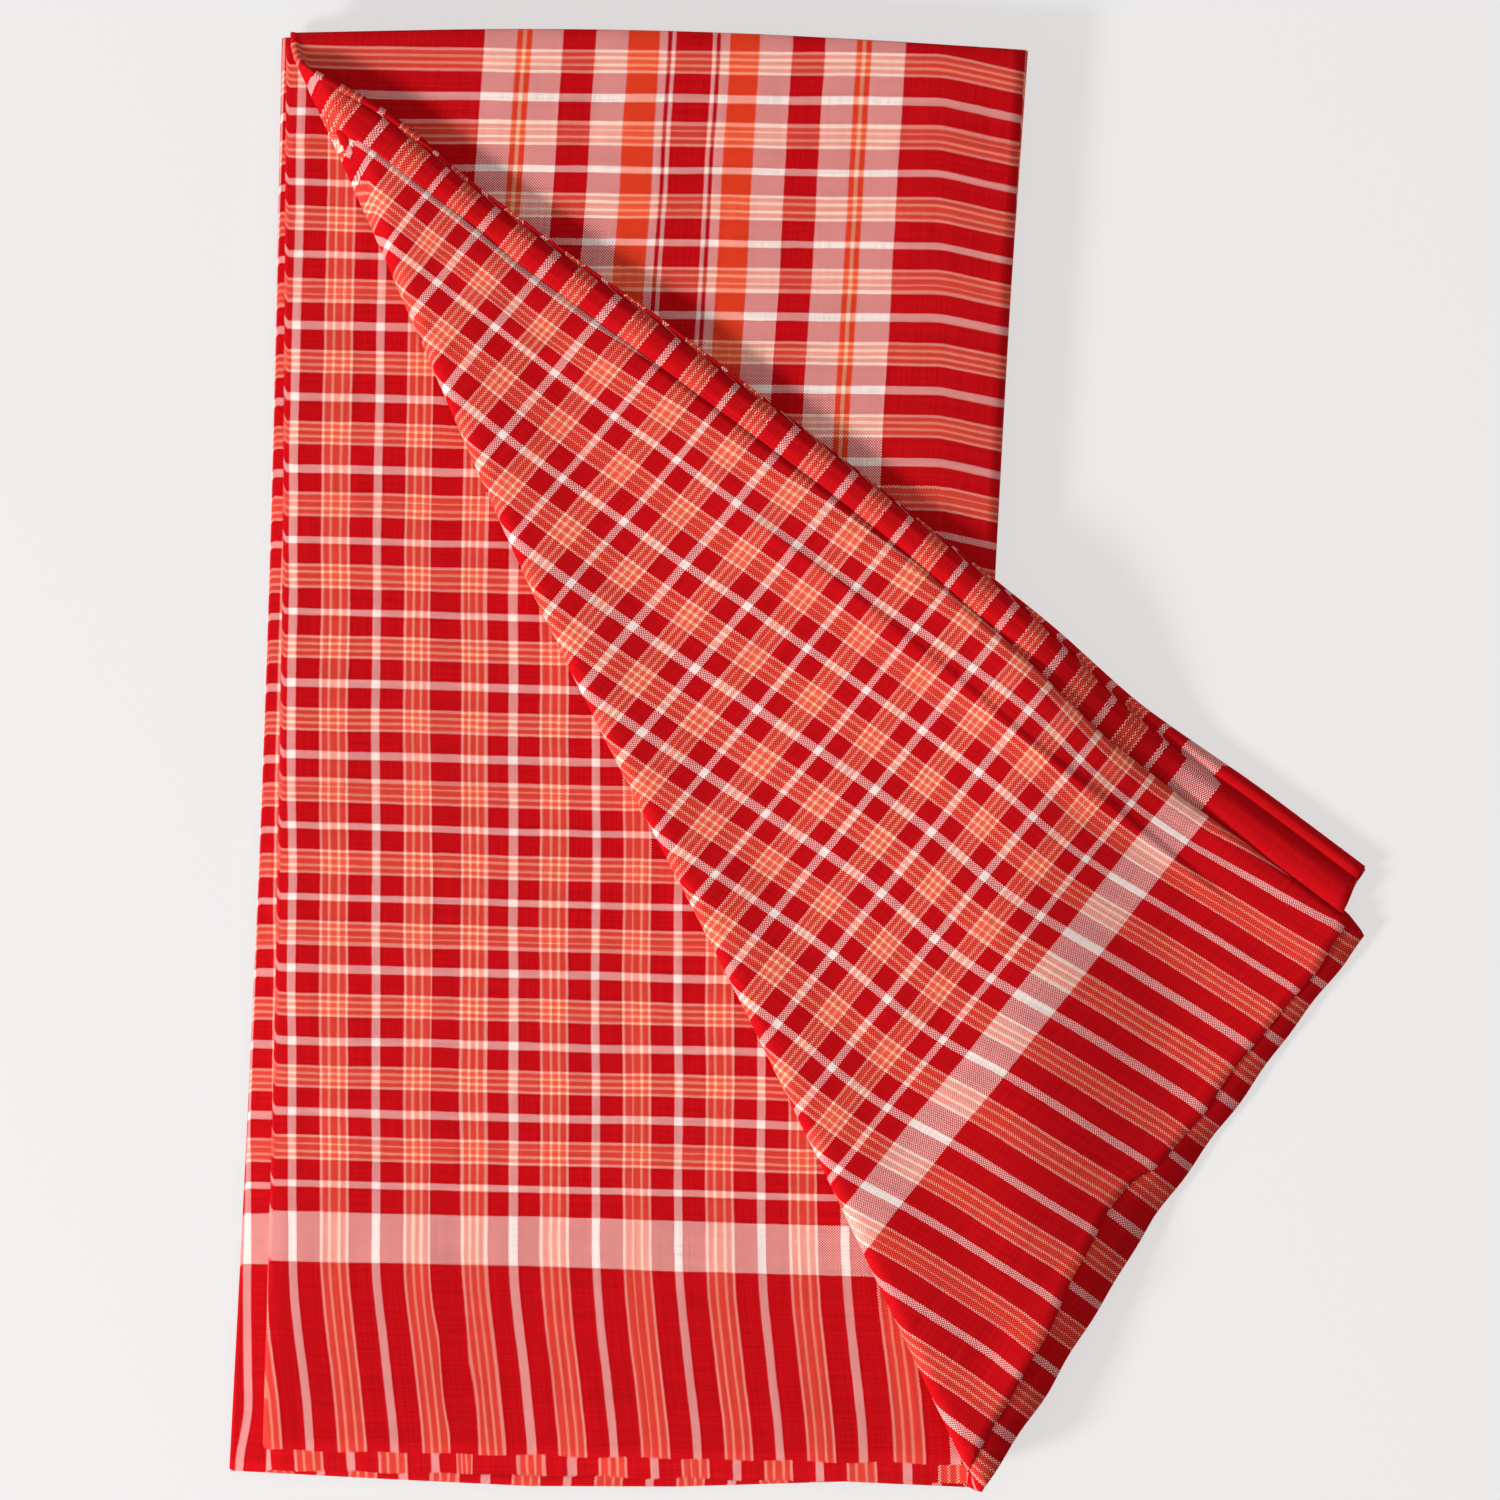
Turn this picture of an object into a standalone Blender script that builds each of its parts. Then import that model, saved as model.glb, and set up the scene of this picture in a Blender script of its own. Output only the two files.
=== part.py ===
"""A gamcha: a long checked cotton cloth, doubled along its length and folded into a packet of eight panels.

The two uppermost panels are turned back over the packet's diagonal, so their lower left half
lies across the packet and hangs over its right side to the surface.
Plan sizes are in millimetres, with x to the right and q down from the packet's top edge.
"""

from collections import namedtuple
from math import cos, exp, pi, radians, sin

import bmesh
import bpy
from mathutils import Vector

MM = 0.001

# The doubled cloth and how its layers lie
WALL = 1.0
LAYER_PITCH = 1.35
PANEL_COUNT = 8
PACKET_LENGTH = 380.0
FOLD_RADIUS = LAYER_PITCH / 2
FOLD_STEPS = 3
UPPER_FOLD_STEPS = 5

# Each edge of the zigzag, from the top panel's free end to the bottom panel's free end.
# The x is the outermost reach of the fold, and the bow is how far its middle stands to the right.
# The dent is how far it is drawn in to the right at one place low down.
# The right-hand edges are drawn in a little more at their lower corners.
Edge = namedtuple("Edge", "x_top q_top x_bottom q_bottom bow dent")
EDGES = (
    Edge(212.3, 5.5, 196.0, 382.0, -2.2, 0.0),
    Edge(16.9, 0.5, 2.9, 364.8, 0.0, 2.2),
    Edge(213.2, 5.0, 200.9, 380.5, -4.8, 0.0),
    Edge(15.7, 3.0, 9.6, 376.5, 1.4, 0.0),
    Edge(211.4, 4.5, 203.0, 383.0, -4.5, 0.0),
    Edge(14.3, 1.0, 0.3, 381.3, 2.0, 0.0),
    Edge(210.4, 5.0, 201.0, 387.0, -2.5, 0.0),
    Edge(15.6, 2.4, 2.6, 382.4, 2.4, 0.0),
    Edge(209.0, 6.0, 197.0, 386.0, 0.0, 0.0),
)
DENT_AT = 0.8
DENT_LENGTH = 0.06
CORNER_PULL = 3.0
CORNER_FROM = 0.95

# How far the middle of each panel's top and bottom edge stands beyond the line between its corners
Panel = namedtuple("Panel", "top_crown bottom_crown")
PANELS = (
    Panel(2.9, 0.0),
    Panel(2.7, 0.0),
    Panel(2.4, 0.0),
    Panel(2.2, 1.0),
    Panel(2.0, 1.6),
    Panel(1.8, 3.0),
    Panel(1.6, 3.0),
    Panel(1.4, 2.0),
)

# The top panel's lower edge, which stands out beyond the second panel's where the pair is turned back
UNDER_LAP = 8.5
UNDER_LAP_SIDE = 10.0
UNDER_LAP_TAPER = 0.55
UNDER_LAP_FROM = 0.6

# The diagonal that the two upper panels are turned over
DIAGONAL_ANGLE = radians(64.55)
DIAGONAL_START = (25.3, 13.7)
TURN_RADIUS = 1.5
TURN_STEPS = 6
TURN_GAP = 0.4
TURN_SETTLE_LENGTH = 24.0
DIAGONAL_BOW = 4.0
DIAGONAL_BOW_AT = 150.0
DIAGONAL_BOW_LENGTH = 95.0
DIAGONAL_BOW_REACH = 34.0

# Heights of the rolls along the turned panels' upper edge, by distance from that edge
Roll = namedtuple("Roll", "distance lift")
ROLLS = (
    Roll(0.0, 0.0),
    Roll(2.0, 0.45),
    Roll(3.6, 0.25),
    Roll(5.6, 1.0),
    Roll(8.0, 1.15),
    Roll(10.4, 0.6),
    Roll(13.0, 2.0),
    Roll(18.0, 1.9),
    Roll(32.0, 1.0),
    Roll(52.0, 0.0),
)
ROLLS_FADE_IN = 60.0
ROLLS_RISE = 2.0

# The part of the turned panels that hangs over the packet's right side
DROOP_START = 4.0
DROOP_END = 60.0
DROOP_FOOT = 0.55
DROOP_SPREAD = 0.6

# Grid of the sheet before it is folded
CORNER_ROWS = (0.0, 3.5, 7.0, 11.0, 16.0)
EVEN_ROWS = 28
UPPER_PANEL_STEP = 18.0
LOWER_PANEL_STEPS = 2
MERGE_DISTANCE = 0.25

# Slow rise and fall of the upper layers
SWELL_HEIGHT = 0.35
SWELL_LENGTH = 146.0

# Middle of the whole shape's plan
PLAN_CENTRE = (152.11, 193.69)

RED = (0.56, 0.008, 0.012, 1.0)

DIAGONAL = Vector((cos(DIAGONAL_ANGLE), sin(DIAGONAL_ANGLE)))
DIAGONAL_SIDE = Vector((-sin(DIAGONAL_ANGLE), cos(DIAGONAL_ANGLE)))


def level(panel):
    """Height of the middle of a panel's wall, where panel 8 lies on the surface."""
    return WALL / 2 + (PANEL_COUNT - panel) * LAYER_PITCH


UPPER_PAIR_FLOOR = (level(2) + level(3)) / 2
TURN_AXIS = level(1) + TURN_RADIUS
OUTER_RADIUS = TURN_AXIS - level(2)
TURNED_LEVEL = level(1) + WALL + TURN_GAP


def ramp(start, end, value):
    """0 before start and 1 after end, with a soft rise between."""
    share = min(max((value - start) / (end - start), 0.0), 1.0)
    return share * share * (3 - 2 * share)


def edge_point(index, down):
    edge = EDGES[index]
    x = edge.x_top + (edge.x_bottom - edge.x_top) * down + edge.bow * sin(pi * down)
    x += edge.dent * exp(-(((down - DENT_AT) / DENT_LENGTH) ** 2))
    if index % 2 == 0:
        x -= CORNER_PULL * ramp(CORNER_FROM, 1.0, down)
    q = edge.q_top + (edge.q_bottom - edge.q_top) * down
    return x, q


def inset_of(index):
    """How far a run of cloth stops short of an edge: a fold needs room to turn, and a free end none."""
    return 0.0 if index in (0, PANEL_COUNT) else FOLD_RADIUS + WALL / 2


def run_ends(panel, down):
    """The two ends of a panel's flat run, in the order in which the cloth passes them."""
    ends = []
    for index in (panel - 1, panel):
        x, q = edge_point(index, down)
        to_left = index % 2 == 1
        ends.append((x + inset_of(index) * (1 if to_left else -1), q))
    return ends


def panel_point(panel, share, down):
    (x_from, q_from), (x_to, q_to) = run_ends(panel, down)
    x = x_from + (x_to - x_from) * share
    q = q_from + (q_to - q_from) * share
    crowns = PANELS[panel - 1]
    q += sin(pi * share) * (crowns.bottom_crown * down**2 - crowns.top_crown * (1 - down) ** 2)
    if panel == 1:
        lap = UNDER_LAP * ramp(0.0, UNDER_LAP_SIDE, x - x_to) * (1 - UNDER_LAP_TAPER * (1 - share))
        q += lap * ramp(UNDER_LAP_FROM, 1.0, down)
    return Vector((x, q, level(panel)))


def fold_point(panel, share, down):
    """A point on the half circle that leads from this panel down to the next."""
    x, q = run_ends(panel, down)[1]
    outward = -1 if panel % 2 == 1 else 1
    angle = pi * share
    height = level(panel) - FOLD_RADIUS + FOLD_RADIUS * cos(angle)
    return Vector((x + outward * FOLD_RADIUS * sin(angle), q, height))


def upper_panel_shares(panel):
    """Stations across an upper panel, from the fold between the two: close at the rolls, then even."""
    width = run_ends(2, 0.5)[1][0] - run_ends(2, 0.5)[0][0]
    near = [roll.distance for roll in ROLLS if roll.distance < UPPER_PANEL_STEP]
    even = round((width - near[-1]) / UPPER_PANEL_STEP)
    far = [near[-1] + (width - near[-1]) * (i + 1) / even for i in range(even)]
    if panel == 1:
        near = [near[0], near[-1]]
    return [distance / width for distance in near + far]


def row_shares():
    """Stations down the packet: close at the corner where the diagonal starts, then even."""
    last = CORNER_ROWS[-1]
    even = [last + (PACKET_LENGTH - last) * (i + 1) / EVEN_ROWS for i in range(EVEN_ROWS)]
    return [distance / PACKET_LENGTH for distance in [*CORNER_ROWS, *even]]


def columns():
    """Every column of the sheet's grid, as the function that places it and its share along that stretch."""
    made = []
    for panel in range(1, PANEL_COUNT + 1):
        if panel == 1:
            shares = [1 - share for share in reversed(upper_panel_shares(panel))]
        elif panel == 2:
            shares = upper_panel_shares(panel)
        else:
            shares = [i / LOWER_PANEL_STEPS for i in range(LOWER_PANEL_STEPS + 1)]
        made += [(panel_point, panel, share) for share in shares]
        if panel < PANEL_COUNT:
            steps = UPPER_FOLD_STEPS if panel == 1 else FOLD_STEPS
            made += [(fold_point, panel, i / steps) for i in range(1, steps)]
    return made


def zigzag_sheet():
    """The sheet lying in its eight panels, before the upper pair is turned back."""
    placed = columns()
    rows = row_shares()
    bm = bmesh.new()
    bmesh.ops.create_grid(bm, x_segments=len(placed) - 1, y_segments=len(rows) - 1, size=1.0)
    for vert in bm.verts:
        place, panel, share = placed[round((vert.co.x + 1) / 2 * (len(placed) - 1))]
        down = rows[round((vert.co.y + 1) / 2 * (len(rows) - 1))]
        vert.co = place(panel, share, down)
    return bm


def past_diagonal(point):
    """Distance beyond the diagonal's axis, towards the packet's lower left."""
    return (Vector(point[:2]) - Vector(DIAGONAL_START)).dot(DIAGONAL_SIDE)


def cut_along_diagonal(bm):
    """Lines beside the diagonal, so that the turn is round in both upper panels."""
    for step in range(TURN_STEPS + 1):
        start = Vector(DIAGONAL_START) + DIAGONAL_SIDE * (OUTER_RADIUS * pi * step / TURN_STEPS)
        faces = [face for face in bm.faces if face.calc_center_median().z > UPPER_PAIR_FLOOR]
        edges = {edge for face in faces for edge in face.edges}
        verts = {vert for face in faces for vert in face.verts}
        bmesh.ops.bisect_plane(
            bm,
            geom=[*verts, *edges, *faces],
            dist=1e-5,
            plane_co=(start.x, start.y, 0.0),
            plane_no=(DIAGONAL_SIDE.x, DIAGONAL_SIDE.y, 0.0),
        )
    bmesh.ops.remove_doubles(bm, verts=list(bm.verts), dist=MERGE_DISTANCE)


def turned_back(point):
    """Bends a point of the upper pair round the diagonal. The outer panel keeps its length there."""
    beyond = past_diagonal(point)
    if beyond <= 0 or point.z < UPPER_PAIR_FLOOR:
        return point
    radius = TURN_AXIS - point.z
    foot = Vector(point[:2]) - DIAGONAL_SIDE * beyond
    angle = beyond / OUTER_RADIUS
    if angle < pi:
        plan = foot + DIAGONAL_SIDE * (radius * sin(angle))
        return Vector((plan.x, plan.y, TURN_AXIS - radius * cos(angle)))
    back = beyond - pi * OUTER_RADIUS
    plan = foot - DIAGONAL_SIDE * back
    settle = (TURN_AXIS + TURN_RADIUS - TURNED_LEVEL) * ramp(0.0, TURN_SETTLE_LENGTH, back)
    return Vector((plan.x, plan.y, TURN_AXIS + radius - settle))


def roll_lift(distance):
    """Height of the rolls at this distance from the turned panels' upper edge."""
    for low, high in zip(ROLLS, ROLLS[1:]):
        if distance < high.distance:
            return low.lift + (high.lift - low.lift) * ramp(low.distance, high.distance, distance)
    return 0.0


def with_rolls(point, flat):
    """Lifts the second panel's edge into its rolls, where it has been turned back."""
    edge = EDGES[1]
    distance = flat.x - edge_point(1, (flat.y - edge.q_top) / (edge.q_bottom - edge.q_top))[0]
    depth = min(max((level(1) - flat.z) / LAYER_PITCH, 0.0), 1.0)
    share = depth * ramp(0.0, ROLLS_FADE_IN, flat.y) * ramp(0.0, ROLLS_RISE, point.z - TURN_AXIS)
    point.z += roll_lift(max(distance, 0.0)) * share
    return point


def bowed(point):
    """The turned edge bulges softly to the lower left in its upper half."""
    along = (Vector(point[:2]) - Vector(DIAGONAL_START)).dot(DIAGONAL)
    beyond = past_diagonal(point)
    share = exp(-(((along - DIAGONAL_BOW_AT) / DIAGONAL_BOW_LENGTH) ** 2))
    share *= exp(-((beyond / DIAGONAL_BOW_REACH) ** 2))
    plan = Vector(point[:2]) + DIAGONAL_SIDE * (DIAGONAL_BOW * share)
    return Vector((plan.x, plan.y, point.z))


def hung_over(point):
    """Lets the turned panels down to the surface beyond the packet's right side."""
    side, _ = edge_point(2, min(point.y / PACKET_LENGTH, CORNER_FROM))
    share = ramp(DROOP_START, DROOP_END, point.x - side)
    fall = TURNED_LEVEL - DROOP_FOOT
    spread = DROOP_SPREAD * (point.z - TURNED_LEVEL) / LAYER_PITCH
    point.z += share * (min(spread, DROOP_SPREAD) - fall)
    return point


def swelled(point):
    """Slow unevenness of the layers, opposite at the two sides, and none at the surface."""
    tilt = (point.x - PLAN_CENTRE[0]) / PLAN_CENTRE[0]
    wave = tilt * cos(2 * pi * point.y / SWELL_LENGTH)
    point.z += SWELL_HEIGHT * wave * ramp(level(PANEL_COUNT - 1), level(3), point.z)
    return point


def folded(flat):
    point = turned_back(flat)
    if flat.z > UPPER_PAIR_FLOOR and past_diagonal(flat) > 0:
        point = with_rolls(point, flat)
    if flat.z > UPPER_PAIR_FLOOR:
        point = bowed(point)
    if point.z > TURN_AXIS - TURN_RADIUS:
        point = hung_over(point)
    return swelled(point)


def towel_material():
    material = bpy.data.materials.new("red_cotton")
    material.use_nodes = True
    shader = material.node_tree.nodes["Principled BSDF"]
    shader.inputs["Base Color"].default_value = RED
    shader.inputs["Roughness"].default_value = 0.9
    shader.inputs["Metallic"].default_value = 0.0
    return material


def make_towel():
    bm = zigzag_sheet()
    cut_along_diagonal(bm)
    for vert in bm.verts:
        point = folded(vert.co.copy())
        vert.co = Vector((point.x - PLAN_CENTRE[0], PLAN_CENTRE[1] - point.y, point.z)) * MM
    bmesh.ops.recalc_face_normals(bm, faces=list(bm.faces))
    mesh = bpy.data.meshes.new("towel")
    bm.to_mesh(mesh)
    bm.free()
    mesh.materials.append(towel_material())
    mesh.shade_smooth()
    towel = bpy.data.objects.new("towel", mesh)
    bpy.context.collection.objects.link(towel)
    wall = towel.modifiers.new("wall", "SOLIDIFY")
    wall.thickness = WALL * MM
    wall.offset = 0.0


for old in list(bpy.data.objects):
    bpy.data.objects.remove(old)
make_towel()
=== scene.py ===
# %% [markdown]
# # A folded gamcha
# A gamcha is a long checked cotton towel, thin and soft from the loom. This one was doubled along
# its length, folded back and forth into a packet of eight panels, and laid down. Then its two upper
# panels were turned over a slanting line, so that the corner hangs over the packet's right side.
# We load the plain solid of the packet first. It is never moved or changed: the fine cloth is built
# in the same place, in metres, and then shown instead of it.

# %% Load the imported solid
from bisect import bisect_right
from collections import namedtuple
from math import cos, exp, pi, radians, sin

import bmesh
import bpy
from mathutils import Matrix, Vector, noise


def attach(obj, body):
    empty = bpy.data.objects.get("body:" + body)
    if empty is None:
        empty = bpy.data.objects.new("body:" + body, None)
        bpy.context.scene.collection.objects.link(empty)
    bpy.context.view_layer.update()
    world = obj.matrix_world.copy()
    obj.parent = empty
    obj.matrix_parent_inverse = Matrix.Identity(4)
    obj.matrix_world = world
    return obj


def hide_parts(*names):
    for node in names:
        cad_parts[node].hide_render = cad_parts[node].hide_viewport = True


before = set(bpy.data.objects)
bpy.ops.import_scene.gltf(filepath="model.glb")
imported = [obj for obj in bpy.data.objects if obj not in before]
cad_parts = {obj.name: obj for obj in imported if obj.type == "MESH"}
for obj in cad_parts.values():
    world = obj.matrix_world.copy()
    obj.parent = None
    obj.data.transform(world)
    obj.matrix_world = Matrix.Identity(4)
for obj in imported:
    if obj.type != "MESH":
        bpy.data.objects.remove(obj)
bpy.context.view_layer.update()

# %% [markdown]
# ## The view
# The towel is looked at from straight above, so the picture's middle is a place on the surface and
# its width is a length. A long lens far away shows the layers with hardly any perspective.
# The plan is measured in millimetres from the packet's top left, x to the right and q down.

# %% Plan sizes and the camera
MM = 0.001
PLAN_CENTRE = (152.11, 193.69)
VIEW_MIDDLE = (139.24, 190.53)
VIEW_WIDTH = 398.6
VIEW_HEIGHT = 8.0
LENS = 100.0
SENSOR = 36.0

scene = bpy.context.scene
camera_data = bpy.data.cameras.new("camera")
camera_data.lens = LENS
camera_data.sensor_width = SENSOR
camera = bpy.data.objects.new("camera", camera_data)
camera.location = (
    (VIEW_MIDDLE[0] - PLAN_CENTRE[0]) * MM,
    (PLAN_CENTRE[1] - VIEW_MIDDLE[1]) * MM,
    (VIEW_HEIGHT + VIEW_WIDTH * LENS / SENSOR) * MM,
)
scene.collection.objects.link(camera)
scene.camera = camera
print("camera height, m:", round(camera.location.z, 3))

# %% [markdown]
# ## Floor and light
# The floor is a plain pale sheet that glows, so that hardly any shadow falls on it. One lamp low at
# the lower left rakes over the folds and leaves a strong shadow of the turned corner on the panel
# above it. A weak lamp overhead and a pale sky fill the rest.

# %% Floor
FLOOR_SIZE = 12.0
FLOOR_COLOUR = (0.2, 0.2, 0.2, 1.0)
FLOOR_GLOW_COLOUR = (0.863, 0.847, 0.839, 1.0)
FLOOR_GLOW = 0.715

floor_bm = bmesh.new()
bmesh.ops.create_grid(floor_bm, x_segments=1, y_segments=1, size=FLOOR_SIZE / 2)
floor_mesh = bpy.data.meshes.new("floor")
floor_bm.to_mesh(floor_mesh)
floor_bm.free()
floor = bpy.data.objects.new("floor", floor_mesh)
scene.collection.objects.link(floor)
floor_material = bpy.data.materials.new("pale_floor")
floor_material.use_nodes = True
floor_shader = floor_material.node_tree.nodes["Principled BSDF"]
floor_shader.inputs["Base Color"].default_value = FLOOR_COLOUR
floor_shader.inputs["Roughness"].default_value = 0.9
floor_shader.inputs["Specular IOR Level"].default_value = 0.1
floor_shader.inputs["Emission Color"].default_value = FLOOR_GLOW_COLOUR
floor_shader.inputs["Emission Strength"].default_value = FLOOR_GLOW
floor_mesh.materials.append(floor_material)

# %% Lamps
Lamp = namedtuple("Lamp", "name x y z size power")
LAMPS = (
    Lamp("key", -2.0, -1.24, 1.05, 0.5, 102.0),
    Lamp("top_fill", 0.25, 0.5, 1.6, 1.4, 5.0),
)
SKY = (1.0, 0.995, 0.985, 1.0)
SKY_STRENGTH = 0.4


def add_lamp(lamp):
    data = bpy.data.lights.new(lamp.name, "AREA")
    data.shape = "DISK"
    data.size = lamp.size
    data.energy = lamp.power
    made = bpy.data.objects.new(lamp.name, data)
    made.location = (lamp.x, lamp.y, lamp.z)
    made.rotation_euler = Vector(made.location).to_track_quat("Z", "Y").to_euler()
    scene.collection.objects.link(made)


for lamp in LAMPS:
    add_lamp(lamp)
world = bpy.data.worlds.new("pale_sky")
world.use_nodes = True
world.node_tree.nodes["Background"].inputs["Color"].default_value = SKY
world.node_tree.nodes["Background"].inputs["Strength"].default_value = SKY_STRENGTH
scene.world = world
scene.view_settings.view_transform = "Standard"
print("lamps:", [lamp.name for lamp in LAMPS])

# %% [markdown]
# ## The packet's layers
# The sheet is thought of lying flat in its eight panels first. Each panel is a level in the stack,
# and each fold is a half circle between two levels. An edge of the zigzag has a row in a table: its
# x at the top and the bottom, how far it bows, and one dent. These are the solid's own sizes, so
# the cloth lies in the solid. The cloth is doubled, so each panel holds two leaves a little apart,
# joined by the lengthwise fold along the packet's top edge.

# %% Edges and levels
WALL = 1.0
LAYER_PITCH = 1.35
PANEL_COUNT = 8
FOLD_RADIUS = LAYER_PITCH / 2
LEAF_OFFSET = 0.28
LEAF_THICKNESS = 0.3

Edge = namedtuple("Edge", "x_top q_top x_bottom q_bottom bow dent")
EDGES = (
    Edge(212.3, 5.5, 196.0, 382.0, -2.2, 0.0),
    Edge(16.9, 0.5, 2.9, 364.8, 0.0, 2.2),
    Edge(213.2, 5.0, 200.9, 380.5, -4.8, 0.0),
    Edge(15.7, 3.0, 9.6, 376.5, 1.4, 0.0),
    Edge(211.4, 4.5, 203.0, 383.0, -4.5, 0.0),
    Edge(14.3, 1.0, 0.3, 381.3, 2.0, 0.0),
    Edge(210.4, 5.0, 201.0, 387.0, -2.5, 0.0),
    Edge(15.6, 2.4, 2.6, 382.4, 2.4, 0.0),
    Edge(209.0, 6.0, 197.0, 386.0, 0.0, 0.0),
)
DENT_AT = 0.8
DENT_LENGTH = 0.06
CORNER_PULL = 3.0
CORNER_FROM = 0.95


def level(panel):
    """Height of the middle of a panel's doubled cloth."""
    return WALL / 2 + (PANEL_COUNT - panel) * LAYER_PITCH


def ramp(start, end, value):
    """0 before start and 1 after end, with a soft rise between."""
    share = min(max((value - start) / (end - start), 0.0), 1.0)
    return share * share * (3 - 2 * share)


def between(pairs, place):
    """Reads a value between pairs of a place and a value. Beyond the ends it stays the same."""
    index = bisect_right([pair[0] for pair in pairs], place)
    if index in (0, len(pairs)):
        return pairs[min(index, len(pairs) - 1)][1]
    (low, low_value), (high, high_value) = pairs[index - 1], pairs[index]
    return low_value + (high_value - low_value) * (place - low) / (high - low)


def edge_point(index, down):
    edge = EDGES[index]
    x = edge.x_top + (edge.x_bottom - edge.x_top) * down + edge.bow * sin(pi * down)
    x += edge.dent * exp(-(((down - DENT_AT) / DENT_LENGTH) ** 2))
    if index % 2 == 0:
        x -= CORNER_PULL * ramp(CORNER_FROM, 1.0, down)
    q = edge.q_top + (edge.q_bottom - edge.q_top) * down
    return x, q


def run_ends(panel, down):
    """The two ends of a panel's flat run, in the order in which the cloth passes them."""
    ends = []
    for index in (panel - 1, panel):
        x, q = edge_point(index, down)
        inset = 0.0 if index in (0, PANEL_COUNT) else FOLD_RADIUS + WALL / 2
        ends.append((x + inset * (1 if index % 2 == 1 else -1), q))
    return ends


print("levels, mm:", [round(level(panel), 2) for panel in range(1, PANEL_COUNT + 1)])

# %% [markdown]
# ## Selvedges that don't line up
# At the packet's lower end each leaf stops at its own selvedge, and no two stop at the same place.
# A row for each panel says how far the middle of its top and bottom edges bulges, and how far each
# leaf runs past the panel's lower edge. The second panel is the one that shows after the turn, so
# its two leaves have a list each, by the distance from the rolled edge.

# %% Crowns and laps
Panel = namedtuple("Panel", "top_crown bottom_crown outer_lap inner_lap")
PANELS = (
    Panel(2.9, 0.0, 0.0, 0.5),
    Panel(2.7, 0.0, 0.0, 0.0),
    Panel(2.4, 0.0, 0.0, 5.4),
    Panel(2.2, 1.0, -3.0, -3.0),
    Panel(2.0, 3.0, 1.5, -0.5),
    Panel(1.8, -1.0, 0.0, 0.0),
    Panel(1.6, -1.0, 0.0, 0.0),
    Panel(1.4, -1.0, -1.0, -1.0),
)
OUTER_LEAF_LAP = (
    (3.0, 0.0),
    (6.0, 0.5),
    (10.0, 1.8),
    (13.0, 4.2),
    (29.0, 4.8),
    (44.0, 3.6),
    (58.0, 1.7),
    (78.0, 1.6),
    (97.0, -0.4),
    (104.0, -4.2),
    (116.0, -5.5),
    (126.0, -4.3),
    (139.0, -2.8),
    (153.0, -1.1),
    (168.6, 0.4),
    (191.0, 1.9),
)
INNER_LEAF_LAP = (
    (0.0, 0.0),
    (11.0, 0.5),
    (13.5, 10.4),
    (22.6, 10.0),
    (37.0, 8.8),
    (84.0, 7.4),
    (108.0, 6.3),
    (163.5, 8.1),
)
LAP_FROM = 0.8
SELVEDGE_WAVE = 0.22
SELVEDGE_WAVE_LENGTH = 23.0
FINE_WAVE_SHARE = 0.6
FINE_WAVE_SCALE = 5.1
PANEL_PHASE = 2.3
INNER_PHASE = 1.9


def lap_of(panel, outer, x, down):
    """How far this leaf runs past the panel's lower edge."""
    if panel == 2:
        lap = between(OUTER_LEAF_LAP if outer else INNER_LEAF_LAP, x - edge_point(1, down)[0])
    else:
        lap = PANELS[panel - 1].outer_lap if outer else PANELS[panel - 1].inner_lap
    phase = panel * PANEL_PHASE + (0.0 if outer else INNER_PHASE)
    wave = sin(2 * pi * x / SELVEDGE_WAVE_LENGTH + phase)
    wave += FINE_WAVE_SHARE * sin(x / FINE_WAVE_SCALE + 2 * phase)
    return lap + SELVEDGE_WAVE * wave


def panel_point(panel, share, down, offset):
    """A place in a panel. The offset is over 0 on the outer leaf, which faces up in odd panels."""
    (x_from, q_from), (x_to, q_to) = run_ends(panel, down)
    x = x_from + (x_to - x_from) * share
    q = q_from + (q_to - q_from) * share
    crowns = PANELS[panel - 1]
    q += sin(pi * share) * (crowns.bottom_crown * down**2 - crowns.top_crown * (1 - down) ** 2)
    q += lap_of(panel, offset > 0, x, down) * ramp(LAP_FROM, 1.0, down)
    return Vector((x, q, level(panel) + (offset if panel % 2 == 1 else -offset)))


def fold_point(panel, share, down, offset):
    """A place on the half circle that leads from this panel down to the next."""
    x, q = run_ends(panel, down)[1]
    outward = -1 if panel % 2 == 1 else 1
    radius = FOLD_RADIUS + (offset if panel % 2 == 1 else -offset)
    q += (lap_of(panel, offset > 0, x, down) * (1 - share)) * ramp(LAP_FROM, 1.0, down)
    q += (lap_of(panel + 1, offset > 0, x, down) * share) * ramp(LAP_FROM, 1.0, down)
    height = level(panel) - FOLD_RADIUS + radius * cos(pi * share)
    return Vector((x + outward * radius * sin(pi * share), q, height))


print("leaves:", 2 * PANEL_COUNT)

# %% [markdown]
# ## Where each yarn lies
# The pattern is woven in, so it has to follow the cloth and not the packet. Each point of the sheet
# keeps its place in the flat cloth as a UV: u is the distance from the cloth's end, and v the
# distance from one selvedge. Cloth is never laid quite square, so a few values for each panel say
# where the white band crosses it, how much it slants, and where the cross stripes fall. The second
# panel shows most after the turn, so it follows lists of its own.

# %% Flat cloth places
LEAF_WIDTH = 373.0
BAND_LOW = 50.0
CHECK_LENGTH = 21.9
CHECK_WIDTH = 19.0
FIRST_STRIPE = 204.1

LAY_FROM = 10.0

Lay = namedtuple("Lay", "band_q slant stretch")
LAYS = (
    Lay(324.0, 0.015, 0.993),
    Lay(318.1, 0.035, 0.9835),
    Lay(326.1, 0.0275, 1.0),
    Lay(322.0, 0.010, 1.0),
    Lay(327.5, 0.020, 1.0),
    Lay(329.5, 0.015, 1.0),
    Lay(325.0, 0.020, 1.0),
    Lay(328.0, 0.010, 1.0),
)
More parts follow.
